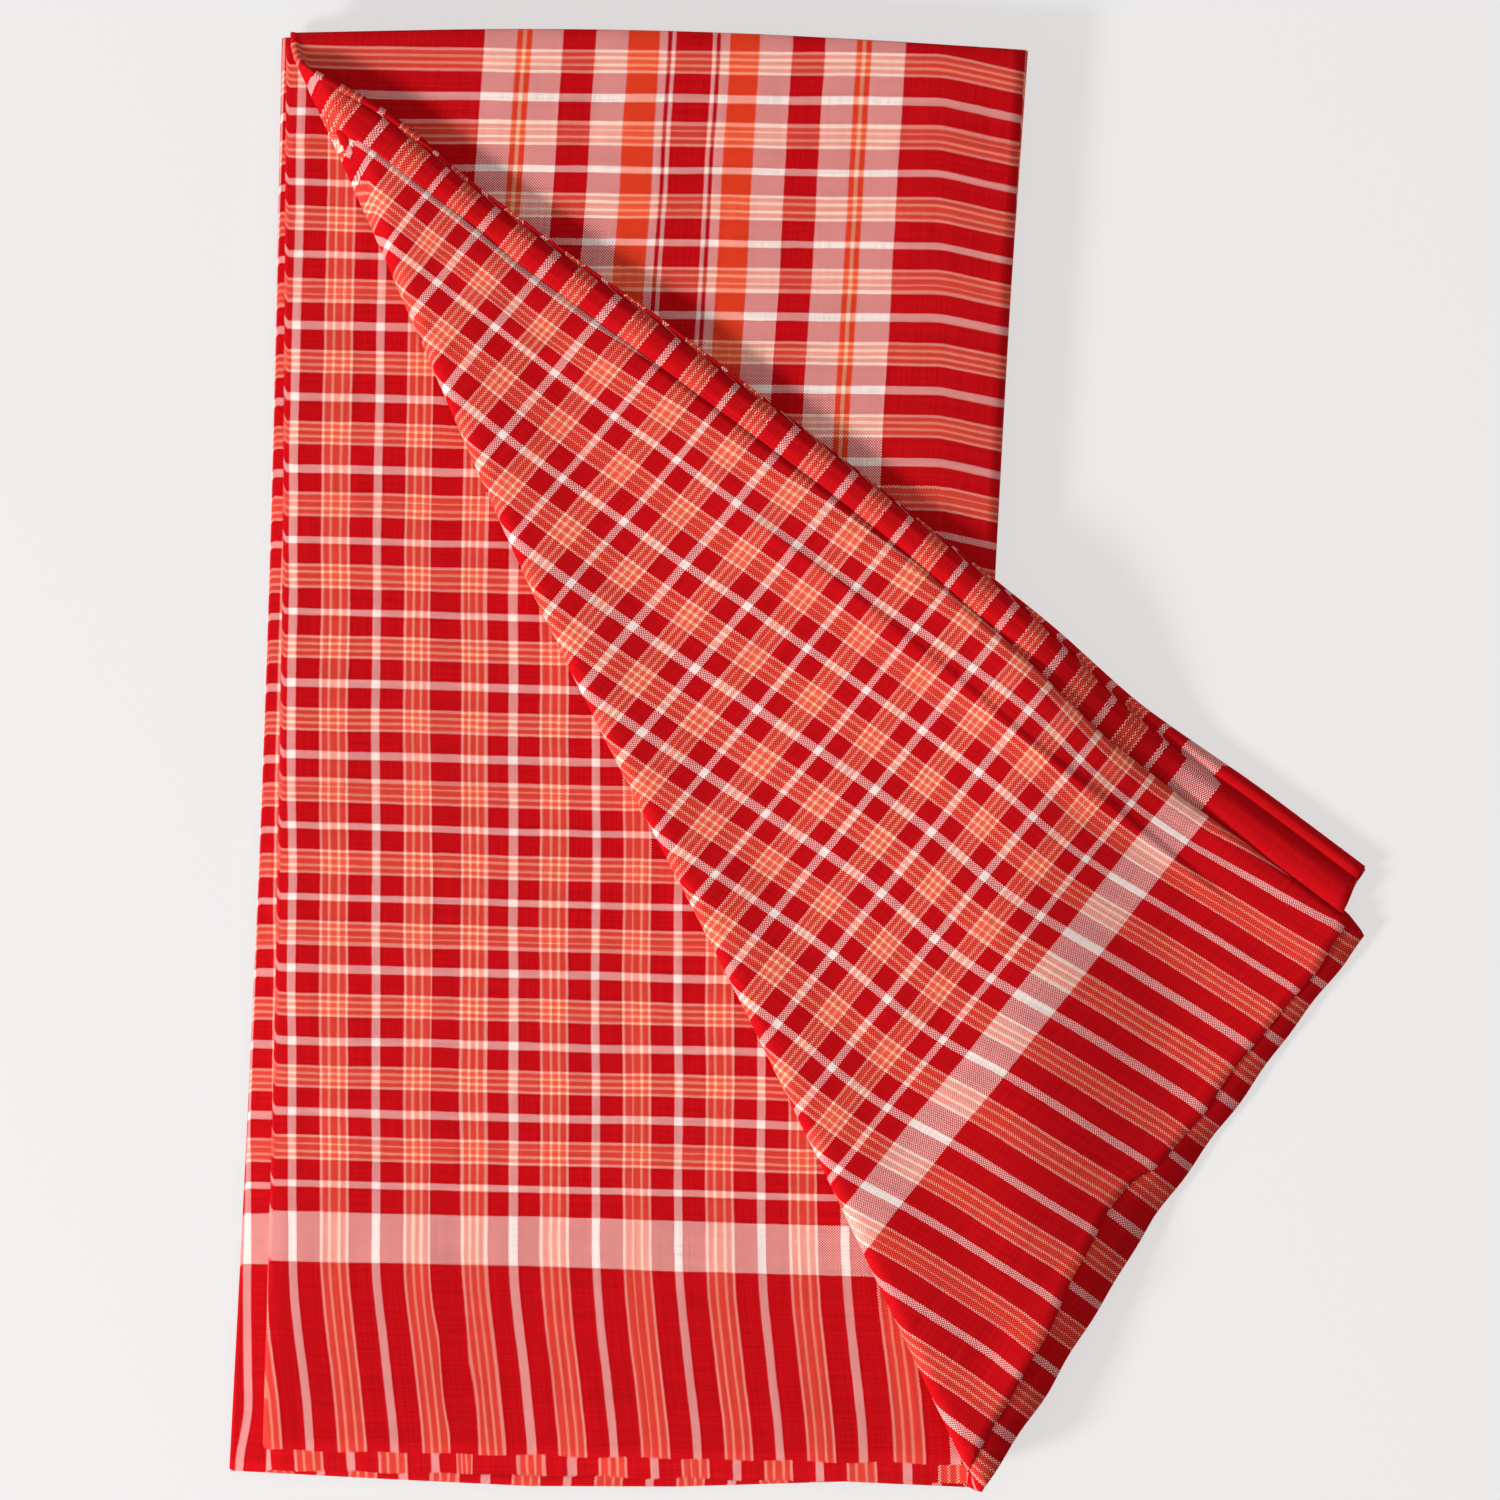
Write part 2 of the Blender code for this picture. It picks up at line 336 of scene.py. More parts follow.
# Pairs of a distance from the second panel's edge and the length of cloth up to there
FLAP_RUN = (
    (5.3, 203.0),
    (15.7, 215.05),
    (23.2, 226.0),
    (43.7, 247.9),
    (63.8, 269.8),
    (84.8, 291.7),
    (105.2, 313.6),
    (128.3, 335.5),
    (148.8, 357.4),
    (190.5, 401.2),
    (212.0, 423.1),
)
# Pairs of a place down the second panel and the width of cloth below it
FLAP_RISE = (
    (4.0, 373.0),
    (22.6, 355.7),
    (41.6, 336.7),
    (59.6, 317.7),
    (76.4, 298.7),
    (95.9, 279.7),
    (115.4, 260.7),
    (173.9, 203.7),
    (231.4, 146.7),
    (304.7, 70.7),
    (312.1, 63.2),
    (323.4, 50.0),
)
# How much further on the second panel's cross stripes lie, by the place down it
FLAP_LEAN = ((165.0, 0.0), (218.0, 0.8), (271.0, 2.1), (316.0, 3.2), (368.0, 6.9))
FLAP_SLANT = 0.008
FLAP_SLANT_FROM = 33.0
# Pairs of a place across the third panel and the length of cloth up to there
THIRD_RUN = (
    (0.0, 615.4),
    (9.6, 606.0),
    (17.5, 598.3),
    (54.9, 561.55),
    (62.0, 547.45),
    (76.3, 532.6),
    (164.2, 445.0),
    (215.0, 400.0),
)
# The length of cloth up to the start of the fourth panel and of each one below it
LOWER_RUN_FROM = (608.0, 796.7, 999.0, 1196.0, 1393.0)
MARGIN_FROM = 189.7
MARGIN_SAG = 0.19
# How much further on the inner leaf of each panel lies than the outer one
INNER_SHIFTS = (3.0, 6.6, 10.5, 3.0, 3.0, 3.0, 3.0, 3.0)
THIRD_LEAN_TOP = 2.8
THIRD_LEAN_TOP_FADE = (-20.0, 170.0)
THIRD_LEAN_BOTTOM = 5.2
THIRD_LEAN_BOTTOM_RISE = (322.0, 384.0)


def third_lean(q):
    """How far the third panel's cross stripes lean to the right at this height."""
    upper = THIRD_LEAN_TOP * (1 - ramp(*THIRD_LEAN_TOP_FADE, q))
    return upper + THIRD_LEAN_BOTTOM * ramp(*THIRD_LEAN_BOTTOM_RISE, q)


# %% [markdown]
# ## The rolled edge
# When the corner was turned back, the second panel's edge rolled up: a thin roll outermost, a wide
# one behind it, then a lip where the checks start. The rolls also slid outwards at the top end and
# inwards at the bottom. The stripes need to know this too, as they follow the cloth.

# %% Where the rolls slid
LIP_AT = 11.4
ROLL_SLIDE_REACH = 25.0
# Each pair here is a place down the panel and a length there
EDGE_SLIDE = (
    (90.0, 4.2),
    (127.0, 5.2),
    (160.0, 4.6),
    (191.0, 3.8),
    (218.0, 2.8),
    (245.0, 1.6),
    (271.0, 1.0),
    (298.0, 1.3),
    (320.0, 0.2),
)
LIP_SLIDE = ((191.0, 4.5), (218.0, 3.5), (245.0, 1.3), (271.0, -1.0), (298.0, -2.4), (316.0, -4.0))
THIN_ROLL = ((77.0, 2.4), (156.0, 2.4), (167.0, 1.6), (246.0, 1.6), (317.0, 4.0))
# Beyond the lip the cross stripes were seen this much further on, fading over a reach
STRIPE_NUDGE = (
    (115.0, -2.3),
    (150.0, 0.9),
    (193.0, 2.5),
    (240.0, 2.9),
    (270.0, 0.8),
    (285.0, -1.0),
    (311.0, -3.6),
    (325.0, -4.5),
    (351.0, -3.3),
    (368.0, -2.0),
)
STRIPE_REACH = ((270.0, 16.0), (300.0, 45.0))
ROLL_CLOTH_FROM = 197.1
THIN_ROLL_DRIFT = 5.3
WIDE_ROLL_DRIFT = ((24.0, 5.8), (52.0, 0.0), (218.0, 0.0), (271.0, 2.5))


def roll_slide(distance, q):
    """How far the cloth lies outwards of its plain place, at this distance from the edge."""
    lip = between(LIP_SLIDE, q)
    if distance > LIP_AT:
        return lip * (1 - ramp(LIP_AT, LIP_AT + ROLL_SLIDE_REACH, distance))
    return between(EDGE_SLIDE, q) + (lip - between(EDGE_SLIDE, q)) * distance / LIP_AT


def flap_place(x, q, down, lower_edge):
    """The flat cloth's (u, v) for a point of the second panel."""
    distance = x - edge_point(1, down)[0]
    drift = -FLAP_SLANT * (x - FLAP_SLANT_FROM)
    if distance < LIP_AT:
        u = ROLL_CLOTH_FROM + abs(distance - LIP_AT / 2)
        thin = distance < between(THIN_ROLL, q)
        drift += THIN_ROLL_DRIFT if thin else between(WIDE_ROLL_DRIFT, q)
    else:
        fade = ramp(0.0, between(STRIPE_REACH, q), distance - LIP_AT)
        nudge = between(STRIPE_NUDGE, q) * (1 - fade)
        u = between(FLAP_RUN, distance - roll_slide(distance, q) + between(FLAP_LEAN, q) + nudge)
    band_q = FLAP_RISE[-1][0] - drift
    if q < band_q:
        return u, between(FLAP_RISE, q + drift)
    return u, BAND_LOW * (lower_edge - q) / (lower_edge - band_q)


def flat_place(panel, point, down, offset, lower_edge):
    """The flat cloth's (u, v) in millimetres, for a point in a panel."""
    x, q = point.x, point.y
    if panel == 2:
        u, v = flap_place(x, q, down, lower_edge)
    else:
        if panel == 1:
            u = edge_point(0, down)[0] - x
        elif panel == 3:
            u = between(THIRD_RUN, x - third_lean(q))
        else:
            u = LOWER_RUN_FROM[panel - 4] + abs(x - run_ends(panel, down)[0][0])
        lay = LAYS[panel - 1]
        band_q = lay.band_q + lay.slant * (x - LAY_FROM)
        if panel == 1:
            band_q += MARGIN_SAG * max(x - MARGIN_FROM, 0.0)
        if q < band_q:
            v = BAND_LOW + (band_q - q) * lay.stretch
        else:
            v = BAND_LOW * (lower_edge - q) / (lower_edge - band_q)
    if offset < 0:
        return u + INNER_SHIFTS[panel - 1], 2 * LEAF_WIDTH - v
    return u, v


# %% [markdown]
# ## One grid for the whole cloth
# The sheet is a single grid. Its columns run through the eight panels and the seven folds, and its
# rows run up the outer leaf, round the lengthwise fold and down the inner leaf. Columns are close
# together at the turned corner's rolled edge and at the crease beside it.

# %% Columns and rows
ROLL_STEP = 0.62
ROLL_COLUMNS_TO = 15.5
CREASE_STEP = 0.8
CREASE_COLUMNS_TO = 34.0
FLAP_STEP = 3.1
TOP_STEP = 3.4
THIRD_STEP = 4.0
LOWER_STEPS = 5
FOLD_STEPS = 4
OUTER_ROWS = 122
INNER_ROWS = 30
TOP_FOLD_STEPS = 4


def even(start, end, step):
    count = max(round((end - start) / step), 1)
    return [start + (end - start) * (i + 1) / count for i in range(count)]


def panel_shares(panel):
    """Stations across a panel, as shares of its run, in the order in which the cloth passes them."""
    (x_from, _), (x_to, _) = run_ends(panel, 0.5)
    width = abs(x_to - x_from)
    if panel == 2:
        places = [0.0, *even(0.0, ROLL_COLUMNS_TO, ROLL_STEP)]
        places += even(ROLL_COLUMNS_TO, CREASE_COLUMNS_TO, CREASE_STEP)
        places += even(CREASE_COLUMNS_TO, width, FLAP_STEP)
    elif panel == 1:
        places = [0.0, *even(0.0, width, TOP_STEP)]
    elif panel == 3:
        places = [0.0, *even(0.0, width, THIRD_STEP)]
    else:
        places = [0.0, *even(0.0, width, width / LOWER_STEPS)]
    return [place / width for place in places]


def grid_columns():
    columns = []
    for panel in range(1, PANEL_COUNT + 1):
        columns += [(panel_point, panel, share) for share in panel_shares(panel)]
        if panel < PANEL_COUNT:
            columns += [(fold_point, panel, i / FOLD_STEPS) for i in range(1, FOLD_STEPS)]
    return columns


def grid_rows():
    """Each row as its place down the packet, the leaf's offset, and how far it stands past the top."""
    outer = [(1 - i / OUTER_ROWS, LEAF_OFFSET, 0.0) for i in range(OUTER_ROWS + 1)]
    inner = [(i / INNER_ROWS, -LEAF_OFFSET, 0.0) for i in range(INNER_ROWS + 1)]
    angles = [pi * i / TOP_FOLD_STEPS for i in range(1, TOP_FOLD_STEPS)]
    turn = [(0.0, LEAF_OFFSET * cos(angle), LEAF_OFFSET * sin(angle)) for angle in angles]
    return [*outer, *turn, *inner]


COLUMNS = grid_columns()
ROWS = grid_rows()
print("grid:", len(COLUMNS), "columns,", len(ROWS), "rows")

# %% Lay the grid in its zigzag
def lower_edge_of(place, panel, share, offset):
    leaf = LEAF_OFFSET if offset > 0 else -LEAF_OFFSET
    return place(panel, share, 1.0, leaf).y


def zigzag_sheet():
    bm = bmesh.new()
    bmesh.ops.create_grid(bm, x_segments=len(COLUMNS) - 1, y_segments=len(ROWS) - 1, size=1.0)
    uv_layer = bm.loops.layers.uv.new("flat_cloth")
    for vert in bm.verts:
        place, panel, share = COLUMNS[round((vert.co.x + 1) / 2 * (len(COLUMNS) - 1))]
        down, offset, past_top = ROWS[round((vert.co.y + 1) / 2 * (len(ROWS) - 1))]
        point = place(panel, share, down, offset)
        if place is panel_point:
            lower = lower_edge_of(place, panel, share, offset)
            u, v = flat_place(panel, point, down, offset, lower)
        else:
            u, v = fold_flat_place(panel, share, down, offset)
        if past_top > 0:
            v = LEAF_WIDTH + (v - LEAF_WIDTH) * abs(offset) / LEAF_OFFSET
        point.y -= past_top
        vert.co = point
        for loop in vert.link_loops:
            loop[uv_layer].uv = (u * MM, v * MM)
    return bm


def fold_flat_place(panel, share, down, offset):
    """In a fold, the flat place between the two panels' ends."""
    ends = []
    for number, end in ((panel, 1.0), (panel + 1, 0.0)):
        point = panel_point(number, end, down, offset)
        lower = lower_edge_of(panel_point, number, end, offset)
        ends.append(flat_place(number, point, down, offset, lower))
    return tuple(ends[0][i] + (ends[1][i] - ends[0][i]) * share for i in range(2))


sheet_bm = zigzag_sheet()
print("flat sheet:", len(sheet_bm.verts), "points")

# %% [markdown]
# ## The slanting turn
# The two upper panels bend round a slanting line. Cutting the flat grid along lines beside it first
# makes the bend round. Then each point of the upper pair is turned about that line: the lower panel
# of the pair ends up on top, with its outer leaf showing.

# %% Cut lines beside the diagonal
DIAGONAL_ANGLE = radians(64.55)
DIAGONAL_START = (25.3, 13.7)
TURN_RADIUS = 1.5
TURN_STEPS = 8
TURN_GAP = 0.4
TURN_SETTLE_LENGTH = 24.0
MERGE_DISTANCE = 0.08

DIAGONAL = Vector((cos(DIAGONAL_ANGLE), sin(DIAGONAL_ANGLE)))
DIAGONAL_SIDE = Vector((-sin(DIAGONAL_ANGLE), cos(DIAGONAL_ANGLE)))
UPPER_PAIR_FLOOR = (level(2) + level(3)) / 2
TURN_AXIS = level(1) + TURN_RADIUS
OUTER_RADIUS = TURN_AXIS - level(2)
TURNED_LEVEL = level(1) + WALL + TURN_GAP


def past_diagonal(point):
    """Distance beyond the diagonal, towards the packet's lower left."""
    return (Vector(point[:2]) - Vector(DIAGONAL_START)).dot(DIAGONAL_SIDE)


def cut_along_diagonal(bm):
    for step in range(TURN_STEPS + 1):
        start = Vector(DIAGONAL_START) + DIAGONAL_SIDE * (OUTER_RADIUS * pi * step / TURN_STEPS)
        faces = [face for face in bm.faces if face.calc_center_median().z > UPPER_PAIR_FLOOR]
        edges = {edge for face in faces for edge in face.edges}
        verts = {vert for face in faces for vert in face.verts}
        bmesh.ops.bisect_plane(
            bm,
            geom=[*verts, *edges, *faces],
            dist=1e-5,
            plane_co=(start.x, start.y, 0.0),
            plane_no=(DIAGONAL_SIDE.x, DIAGONAL_SIDE.y, 0.0),
        )
    bmesh.ops.remove_doubles(bm, verts=list(bm.verts), dist=MERGE_DISTANCE)


cut_along_diagonal(sheet_bm)
print("after the cuts:", len(sheet_bm.verts), "points")

# %% Turn, roll, bow and let down
Roll = namedtuple("Roll", "distance shift lift")
ROLLS = (
    Roll(0.0, 0.0, 0.0),
    Roll(0.9, -0.2, 1.0),
    Roll(2.2, 0.0, 1.6),
    Roll(3.4, 0.2, 0.8),
    Roll(4.1, 0.1, 0.0),
    Roll(4.9, -0.5, 1.8),
    Roll(6.4, -0.2, 2.9),
    Roll(8.4, 0.3, 3.0),
    Roll(10.1, 0.9, 2.1),
    Roll(11.1, 0.5, -0.2),
    Roll(11.9, -1.1, 2.4),
    Roll(13.2, -1.3, 3.8),
    Roll(15.5, -0.7, 4.0),
    Roll(20.0, 0.0, 3.4),
    Roll(34.0, 0.0, 1.9),
    Roll(60.0, 0.0, 0.8),
    Roll(90.0, 0.0, 0.0),
)
GROOVE_AT = 4.1
LIP_HEIGHT = ((60.0, 0.6), (240.0, 0.75), (268.0, 1.2), (318.0, 1.1), (345.0, 0.75))
ROLLS_FADE_IN = 40.0
LIFT_FADE_FROM = -5.0
LIFT_FADE_IN = 90.0
ROLLS_RISE = 2.0
DIAGONAL_BOW = 4.0
DIAGONAL_BOW_AT = 150.0
DIAGONAL_BOW_LENGTH = 95.0
DIAGONAL_BOW_REACH = 34.0
EDGE_LENGTH = 380.0
DROOP_START = 4.0
DROOP_END = 60.0
DROOP_FOOT = 0.55
DROOP_SPREAD = 0.6
SWELL_HEIGHT = 0.35
SWELL_LENGTH = 146.0


def turned_back(point):
    """Bends a point of the upper pair round the diagonal. The outer panel keeps its length there."""
    beyond = past_diagonal(point)
    if beyond <= 0 or point.z < UPPER_PAIR_FLOOR:
        return point
    radius = TURN_AXIS - point.z
    foot = Vector(point[:2]) - DIAGONAL_SIDE * beyond
    angle = beyond / OUTER_RADIUS
    if angle < pi:
        plan = foot + DIAGONAL_SIDE * (radius * sin(angle))
        return Vector((plan.x, plan.y, TURN_AXIS - radius * cos(angle)))
    back = beyond - pi * OUTER_RADIUS
    plan = foot - DIAGONAL_SIDE * back
    settle = (TURN_AXIS + TURN_RADIUS - TURNED_LEVEL) * ramp(0.0, TURN_SETTLE_LENGTH, back)
    return Vector((plan.x, plan.y, TURN_AXIS + radius - settle))


def roll_at(distance, q):
    """Shift away from the rolled edge, and lift, at this distance from it."""
    thin = between(THIN_ROLL, q)
    if distance < thin:
        distance *= GROOVE_AT / thin
    elif distance < LIP_AT:
        distance = GROOVE_AT + (distance - thin) * (LIP_AT - GROOVE_AT) / (LIP_AT - thin)
    height = between(LIP_HEIGHT, q) if distance > LIP_AT else 1.0
    height *= ramp(LIFT_FADE_FROM, LIFT_FADE_IN, q)
    for low, high in zip(ROLLS, ROLLS[1:]):
        if distance < high.distance:
            share = ramp(low.distance, high.distance, distance)
            shift = low.shift + (high.shift - low.shift) * share
            return shift, height * (low.lift + (high.lift - low.lift) * share)
    return 0.0, 0.0


def edge_distance(flat):
    edge = EDGES[1]
    return flat.x - edge_point(1, (flat.y - edge.q_top) / (edge.q_bottom - edge.q_top))[0]


def with_rolls(point, flat):
    """Lifts the second panel's edge into its rolls, where it has been turned back."""
    depth = min(max((level(1) - flat.z) / LAYER_PITCH, 0.0), 1.0)
    share = depth * ramp(0.0, ROLLS_FADE_IN, flat.y) * ramp(0.0, ROLLS_RISE, point.z - TURN_AXIS)
    distance = max(edge_distance(flat), 0.0)
    shift, lift = roll_at(distance, flat.y)
    inward = ROLL_INWARD * ((shift - roll_slide(distance, flat.y)) * share)
    return Vector((point.x + inward.x, point.y + inward.y, point.z + lift * share))


def bowed(point):
    """The turned edge bulges softly to the lower left in its upper half."""
    along_diagonal = (Vector(point[:2]) - Vector(DIAGONAL_START)).dot(DIAGONAL)
    beyond = past_diagonal(point)
    share = exp(-(((along_diagonal - DIAGONAL_BOW_AT) / DIAGONAL_BOW_LENGTH) ** 2))
    share *= exp(-((beyond / DIAGONAL_BOW_REACH) ** 2))
    plan = Vector(point[:2]) + DIAGONAL_SIDE * (DIAGONAL_BOW * share)
    return Vector((plan.x, plan.y, point.z))


def hung_over(point):
    """Lets the turned panels down to the surface beyond the packet's right side."""
    side, _ = edge_point(2, min(point.y / EDGE_LENGTH, CORNER_FROM))
    share = ramp(DROOP_START, DROOP_END, point.x - side)
    fall = TURNED_LEVEL - DROOP_FOOT
    spread = min(DROOP_SPREAD * (point.z - TURNED_LEVEL) / LAYER_PITCH, DROOP_SPREAD)
    point.z += share * (spread - fall)
    return point


def swelled(point):
    """Slow unevenness of the layers, opposite at the two sides, and none at the surface."""
    tilt = (point.x - PLAN_CENTRE[0]) / PLAN_CENTRE[0]
    wave = tilt * cos(2 * pi * point.y / SWELL_LENGTH)
    point.z += SWELL_HEIGHT * wave * ramp(level(PANEL_COUNT - 1), level(3), point.z)
    return point


flat_edge = Vector((EDGES[1].x_bottom - EDGES[1].x_top, EDGES[1].q_bottom - EDGES[1].q_top)).normalized()
flat_inward = Vector((flat_edge.y, -flat_edge.x))
ROLL_INWARD = flat_inward - 2 * flat_inward.dot(DIAGONAL_SIDE) * DIAGONAL_SIDE
print("the rolled edge runs towards", [round(c, 2) for c in (ROLL_INWARD.x, ROLL_INWARD.y)])

# %% [markdown]
# ## Creases and slack
# A washed cotton cloth is never flat. Some creases can be seen plainly: one that runs beside the
# rolled edge, one across each red border, one beside the corner's selvedge. Each is a line of a few
# given points, with a width and a height. A step stands up on one side only, a ridge on
# both, and a flare keeps rising from its line to the selvedge. Beyond these, broad slow noise lets
# the upper leaves rise and sink by a few tenths.

# %% Crease lines
Crease = namedtuple("Crease", "panel kind height width points")
CREASES = (
    Crease(
        2,
        "step",
        1.1,
        7.0,
        (
            (129.7, 120.3),
            (163.8, 145.7),
            (192.7, 169.1),
            (212.8, 186.7),
            (233.7, 203.1),
            (248.3, 214.7),
            (264.7, 228.2),
            (276.0, 237.5),
        ),
    ),
    Crease(2, "ridge", -0.35, 3.5, ((42, 50.5), (76, 83.7), (118.5, 112.4), (135, 124))),
    Crease(2, "flare", 4.5, 13.0, ((193, 356), (205, 342), (217, 329), (233, 311), (240, 303))),
    Crease(3, "step", 0.7, 7.0, ((12, 358.5), (60, 360), (120, 361.5), (174, 363))),
    Crease(1, "ridge", 0.6, 12.0, ((189, 2), (189.5, 60), (187, 140))),
)
CREASE_FADE = 22.0
CREASE_REACH = 4.0
STEP_FACE = (-0.2, 1.4)
STEP_FOOT_WIDTH = 1.2
STEP_FOOT_SHARE = 0.15
SLACK_LENGTH = 46.0
SLACK_HEIGHT = 0.5
FINE_SLACK_LENGTH = 15.0
FINE_SLACK_HEIGHT = 0.12
SLACK_FLOOR = -0.35
SLACK_SEEDS = (3.7, 7.1)
INNER_SLACK = 0.85
THIRD_SLACK = 0.5
OUTER_LIFT = 0.1


def near_line(points, place):
    """Distance from a line of points, to its left over 0, and how far along the nearest place is."""
    best, gone = None, 0.0
    for start, end in zip(points, points[1:]):
        run = Vector(end) - Vector(start)
        share = min(max((place - Vector(start)).dot(run) / run.length_squared, 0.0), 1.0)
        off = place - (Vector(start) + run * share)
        side = 1.0 if run.x * off.y - run.y * off.x > 0 else -1.0
        if best is None or off.length < abs(best[0]):
            best = (side * off.length, gone + run.length * share)
        gone += run.length
    return best[0], best[1], gone


def crease_lift(crease, place):
    off, at, length = near_line(crease.points, place)
    fade = ramp(0.0, CREASE_FADE, at) * ramp(0.0, CREASE_FADE, length - at)
    if at in (0.0, length) or abs(off) > CREASE_REACH * crease.width:
        return 0.0
    if crease.kind == "ridge":
        return crease.height * fade * exp(-((off / crease.width) ** 2))
    if crease.kind == "flare":
        return crease.height * fade * ramp(0.0, crease.width, off)
    if off < 0:
        return crease.height * fade * exp(-((off / STEP_FOOT_WIDTH) ** 2)) * STEP_FOOT_SHARE
    return crease.height * fade * exp(-off / crease.width) * ramp(*STEP_FACE, off)


def panel_of(flat):
    return min(max(round((level(1) - flat.z) / LAYER_PITCH) + 1, 1), PANEL_COUNT)


def slack_at(point, panel):
    waves = []
    for length, seed in zip((SLACK_LENGTH, FINE_SLACK_LENGTH), SLACK_SEEDS):
        waves.append(noise.noise(Vector((point.x / length, point.y / length, panel * seed))))
    return SLACK_HEIGHT * max(waves[0], SLACK_FLOOR) + FINE_SLACK_HEIGHT * waves[1]


def creased(point, flat):
    """Adds the creases and the slack to the leaves that show."""
    panel = panel_of(flat)
    if panel > 3:
        return point
    side = flat.z - level(panel)
    outer = side > 0 if panel % 2 == 1 else side < 0
    place = Vector((point.x, point.y))
    lift = sum(crease_lift(crease, place) for crease in CREASES if crease.panel == panel)
    on_top = 1.0 if panel != 2 else ramp(0.0, 1.0, point.z - TURN_AXIS)
    slack = slack_at(point, panel) * (1.0 if outer else INNER_SLACK)
    if panel == 3:
        slack *= THIRD_SLACK
    point.z += (lift + slack + OUTER_LIFT) * on_top if outer else (min(lift, 0.0) + slack) * on_top
    return point


# %% [markdown]
# ## Fold the cloth
# Now each point of the flat zigzag goes through the same steps in the same order, and a Solidify
# modifier gives the leaf its thickness.

# %% Fold
def folded(flat):
    point = turned_back(flat)
    turned = flat.z > UPPER_PAIR_FLOOR and past_diagonal(flat) > 0
    if turned:
        point = with_rolls(point, flat)
    if flat.z > UPPER_PAIR_FLOOR:
        point = bowed(point)
    point = creased(point, flat)
    if point.z > TURN_AXIS - TURN_RADIUS:
        point = hung_over(point)
    return swelled(point)


for vert in sheet_bm.verts:
    flat = vert.co.copy()
    point = folded(flat.copy())
    vert.co = Vector((point.x - PLAN_CENTRE[0], PLAN_CENTRE[1] - point.y, point.z)) * MM

cloth_mesh = bpy.data.meshes.new("gamcha_cloth")
sheet_bm.to_mesh(cloth_mesh)
sheet_bm.free()
cloth_mesh.shade_smooth()
cloth = bpy.data.objects.new("gamcha_cloth", cloth_mesh)
scene.collection.objects.link(cloth)
thickness = cloth.modifiers.new("thickness", "SOLIDIFY")
thickness.thickness = LEAF_THICKNESS * MM
thickness.offset = 0.0
print("cloth:", len(cloth_mesh.polygons), "faces")

# %% [markdown]
# ## The woven cotton
# The colours aren't printed. Every stripe is a run of dyed yarns, and a plain weave shows the yarns
# of the two directions in turn, like a chessboard. Where a white stripe crosses red it looks pink,
# and only where white crosses white is it white. So the material works the way the loom does: one
# list of stripes for each direction, and a chessboard that shows them in turn.

# %% Yarn colours
RED = (0.53, 0.006, 0.011)
DEEP_RED = (0.41, 0.008, 0.018)
WHITE = (0.90, 0.80, 0.755)
PALE_LINE = (0.95, 0.66, 0.54)
PEACH_LINE = (0.95, 0.62, 0.42)
CREAM = (0.93, 0.70, 0.42)
ORANGE = (0.92, 0.14, 0.036)
CROSS_RUST = (0.84, 0.145, 0.09)
LONG_RUST = (0.82, 0.16, 0.10)
YARN_PITCH = 0.36
NEIGHBOUR_TINT = (0.10, 0.40, 0.40)

# %% Stripe lists
# Each row is the stripe's far side in millimetres and its colour, from the first one outwards
END_STRIPES = (
    (4.8, RED),
    (5.8, WHITE),
    (7.0, DEEP_RED),
    (9.2, WHITE),
    (17.5, ORANGE),
    (26.0, WHITE),
    (34.6, RED),
    (43.1, WHITE),
    (44.4, ORANGE),
    (45.3, CREAM),
    (46.7, ORANGE),
    (55.6, WHITE),
    (60.0, RED),
)
END_MIDDLE = 87.6
END_REACH = 60.0
CROSS_SINGLE = 2.3
CROSS_GROUP = (0.75, 1.55, 0.7, 1.55, 0.7, 1.55, 0.75)
LONG_SINGLE = 1.95
LONG_GROUP = (0.72, 1.17, 0.65, 1.25, 0.65, 1.17, 0.72)
BORDER_STRIPES = ((BAND_LOW, RED), (BAND_LOW + 13.2, WHITE), (BAND_LOW + 15.0, RED))
CHECK_FROM = BAND_LOW + 14.5
LONG_SINGLE_AT = 70.7
MISSING_STRIPE = 554.5
MISSING_REACH = 3.0
END_CLOTH = 1590.0


def check_stripes(length, single, group, rust):
    """One repeat: a single white stripe at its start and end, and a group of fine ones between."""
    colours = (PALE_LINE, rust, PEACH_LINE, rust, PEACH_LINE, rust, PALE_LINE)
    rows = [(single / 2, WHITE), (length / 2 - sum(group) / 2, RED)]
    for width, colour in zip(group, colours):
        rows.append((rows[-1][0] + width, colour))
    return [*rows, (length - single / 2, RED), (length, WHITE)]


# %% Node helpers
cotton = bpy.data.materials.new("woven_cotton")
cotton.use_nodes = True
tree = cotton.node_tree
shader = tree.nodes["Principled BSDF"]


def node(kind, **settings):
    made = tree.nodes.new(kind)
    for name, value in settings.items():
        setattr(made, name, value)
    return made


def joined(socket, value):
    if isinstance(value, bpy.types.NodeSocket):
        tree.links.new(value, socket)
    else:
        socket.default_value = value


def computed(operation, *values):
    made = node("ShaderNodeMath", operation=operation)
    for socket, value in zip(made.inputs, values):
        joined(socket, value)
    return made.outputs[0]


def mixed(factor, first, second, blend="MIX"):
    made = node("ShaderNodeMix", data_type="RGBA", blend_type=blend)
    joined(made.inputs["Factor"], factor)
    joined(made.inputs["A"], first)
    joined(made.inputs["B"], second)
    return made.outputs["Result"]


